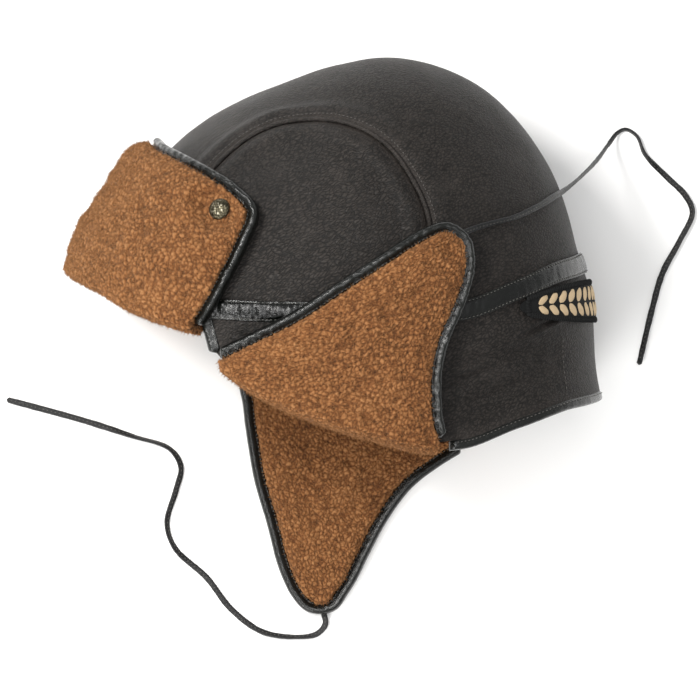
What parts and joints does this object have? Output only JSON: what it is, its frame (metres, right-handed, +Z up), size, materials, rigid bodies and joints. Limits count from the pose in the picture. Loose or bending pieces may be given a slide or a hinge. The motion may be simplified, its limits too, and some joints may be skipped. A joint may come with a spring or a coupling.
{
  "type": "leather flying helmet",
  "caption": "Leather flying helmet lined with shearling, lying on its right side, brow flap and left ear flap turned up, right ear flap and both ties spread.",
  "frame": {"origin": "on the floor under the middle of the lying helmet without its ties", "axes": "+Z up from the floor, which is the helmet's left; +Y towards the top of the crown; +X towards the back of the helmet"},
  "size_m": [0.3482, 0.2921, 0.1816],
  "materials": {
    "brown_leather": "soft sheen, fine grain, dark brown",
    "black_trim": "glossy, creased binding leather",
    "caramel_wool": "short tight curls of shearling",
    "aged_metal": "antiqued hammered snap caps",
    "patch_cloth": "embroidered twill with an overlocked edge",
    "lace_leather": "flat black lace with one line of stitches"
  },
  "bodies": {
    "root": {"crown_centre_panel": "brown_leather", "crown_left_panel": "brown_leather", "crown_right_panel": "brown_leather", "crown_left_welt": "black_trim", "crown_right_welt": "black_trim", "band": "black_trim", "neck": "brown_leather", "hem_binding": "black_trim", "wool_lining": "caramel_wool", "left_ear_flap": "brown_leather", "left_flap_wool": "caramel_wool", "left_flap_binding": "black_trim", "right_ear_flap": "brown_leather", "right_flap_wool": "caramel_wool", "right_flap_binding": "black_trim", "brow_flap": "brown_leather", "brow_flap_wool": "caramel_wool", "brow_flap_binding": "black_trim", "left_snap_cap": "aged_metal", "right_snap_cap": "aged_metal", "nape_patch": "patch_cloth", "left_tie": "lace_leather", "right_tie": "lace_leather"}
  },
  "joints": []
}
